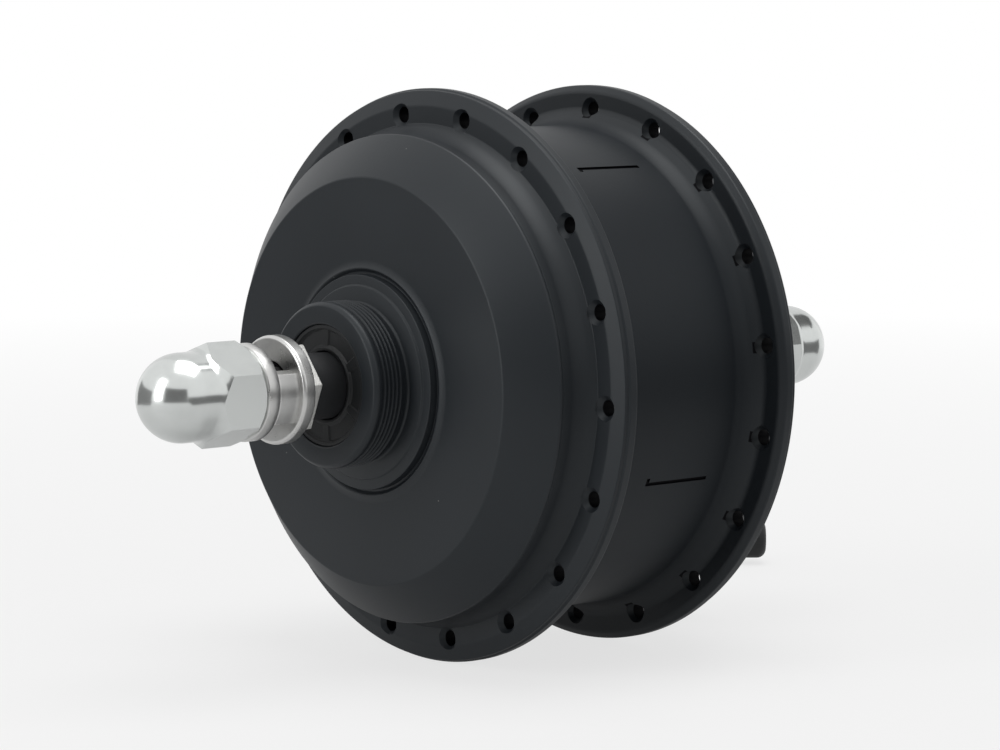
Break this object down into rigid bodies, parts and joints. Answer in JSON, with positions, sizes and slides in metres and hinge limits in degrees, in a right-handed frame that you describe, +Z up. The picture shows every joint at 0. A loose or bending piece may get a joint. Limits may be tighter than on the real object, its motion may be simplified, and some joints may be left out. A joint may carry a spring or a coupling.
{
  "type": "geared hub motor",
  "caption": "Geared bicycle hub motor with two spoke flanges, a freewheel thread, a disc brake mount, a fixed axle with domed nuts and a short cable with its plug.",
  "frame": {"origin": "on the axle's centre line, midway between the two dropout faces", "axes": "+Y along the axle towards the disc brake side, so the freewheel thread is at -Y; +Z up; +X is the way the wheel's front faces when the drive side is on the rider's right, turned so the axle's flats lie level"},
  "size_m": [0.1517, 0.2333, 0.1224],
  "materials": {
    "black_paint": "satin",
    "black_oxide": "satin",
    "bright_zinc": "gloss",
    "dull_zinc": "satin",
    "steel": "satin",
    "ball_steel": "gloss",
    "spring_steel": "satin",
    "aluminium": "satin",
    "brass": "satin",
    "copper": "gloss",
    "black_rubber": "matte",
    "nylon": "satin",
    "board_green": "satin",
    "black_plastic": "satin"
  },
  "bodies": {
    "axle": {"axle": "black_oxide", "axle_key": "steel", "axle_clips": "spring_steel", "drive_spacer": "black_oxide", "inner_sleeve": "steel", "drive_bearing_inner": "steel", "brake_bearing_inner": "steel", "rotor_bearing_inners": "steel", "rotor_bearing_spacer": "steel", "stator_support": "aluminium", "stator_core": "steel", "stator_windings": "copper", "hall_board": "board_green", "hall_sensors": "black_plastic", "inner_cable": "black_plastic", "planet_carrier": "aluminium", "planet_pins": "steel", "clutch_cam": "steel", "clutch_rollers": "ball_steel", "clutch_bushes": "brass", "lock_nut_drive": "dull_zinc", "tab_washer": "dull_zinc", "lock_nut_brake": "dull_zinc", "flat_washers": "dull_zinc", "domed_nuts": "bright_zinc", "cable_boot": "black_rubber", "motor_cable": "black_rubber", "cable_connector": "black_rubber"},
    "hub": {"hub_shell": "black_paint", "drive_cover": "black_paint", "cover_o_ring": "black_rubber", "ring_gear": "steel", "ring_gear_clip": "spring_steel", "drive_bearing_outer": "steel", "brake_bearing_outer": "steel", "drive_seal": "black_rubber", "brake_seal": "black_rubber"},
    "rotor": {"rotor_can": "steel", "rotor_magnets": "steel", "sun_gear": "steel", "sun_screws": "dull_zinc", "rotor_bearing_outers": "steel"},
    "planet_1": {"planet_gear_1": "nylon", "planet_bush_1": "brass"},
    "planet_2": {"planet_gear_2": "nylon", "planet_bush_2": "brass"},
    "planet_3": {"planet_gear_3": "nylon", "planet_bush_3": "brass"},
    "drive_balls": {"drive_bearing_balls": "ball_steel", "drive_bearing_cage": "brass"},
    "brake_balls": {"brake_bearing_balls": "ball_steel", "brake_bearing_cage": "brass"},
    "rotor_balls": {"rotor_bearing_balls": "ball_steel", "rotor_bearing_cages": "brass"}
  },
  "joints": [
    {"name": "hub_spin", "type": "hinge", "parent": "axle", "child": "hub", "pos_m": [0, 0, 0], "axis": [0, 1, 0], "continuous": true},
    {"name": "rotor_spin", "type": "hinge", "parent": "axle", "child": "rotor", "pos_m": [0, 0, 0], "axis": [0, 1, 0], "continuous": true},
    {"name": "planet_1_spin", "type": "hinge", "parent": "axle", "child": "planet_1", "pos_m": [0.027, -0.012, 0], "axis": [0, 1, 0], "continuous": true},
    {"name": "planet_2_spin", "type": "hinge", "parent": "axle", "child": "planet_2", "pos_m": [-0.0135, -0.012, -0.02338], "axis": [0, 1, 0], "continuous": true},
    {"name": "planet_3_spin", "type": "hinge", "parent": "axle", "child": "planet_3", "pos_m": [-0.0135, -0.012, 0.02338], "axis": [0, 1, 0], "continuous": true},
    {"name": "drive_balls_spin", "type": "hinge", "parent": "axle", "child": "drive_balls", "pos_m": [0, -0.0462, 0], "axis": [0, 1, 0], "continuous": true},
    {"name": "brake_balls_spin", "type": "hinge", "parent": "axle", "child": "brake_balls", "pos_m": [0, 0.046, 0], "axis": [0, 1, 0], "continuous": true},
    {"name": "rotor_balls_spin", "type": "hinge", "parent": "axle", "child": "rotor_balls", "pos_m": [0, 0.0055, 0], "axis": [0, 1, 0], "continuous": true}
  ],
  "couplings": [
    {"joint": "rotor_spin", "follows": "hub_spin", "ratio": -4.1429},
    {"joint": "planet_1_spin", "follows": "hub_spin", "ratio": 2.6364},
    {"joint": "planet_2_spin", "follows": "hub_spin", "ratio": 2.6364},
    {"joint": "planet_3_spin", "follows": "hub_spin", "ratio": 2.6364},
    {"joint": "drive_balls_spin", "follows": "hub_spin", "ratio": 0.615},
    {"joint": "brake_balls_spin", "follows": "hub_spin", "ratio": 0.59302},
    {"joint": "rotor_balls_spin", "follows": "hub_spin", "ratio": -2.3727}
  ]
}
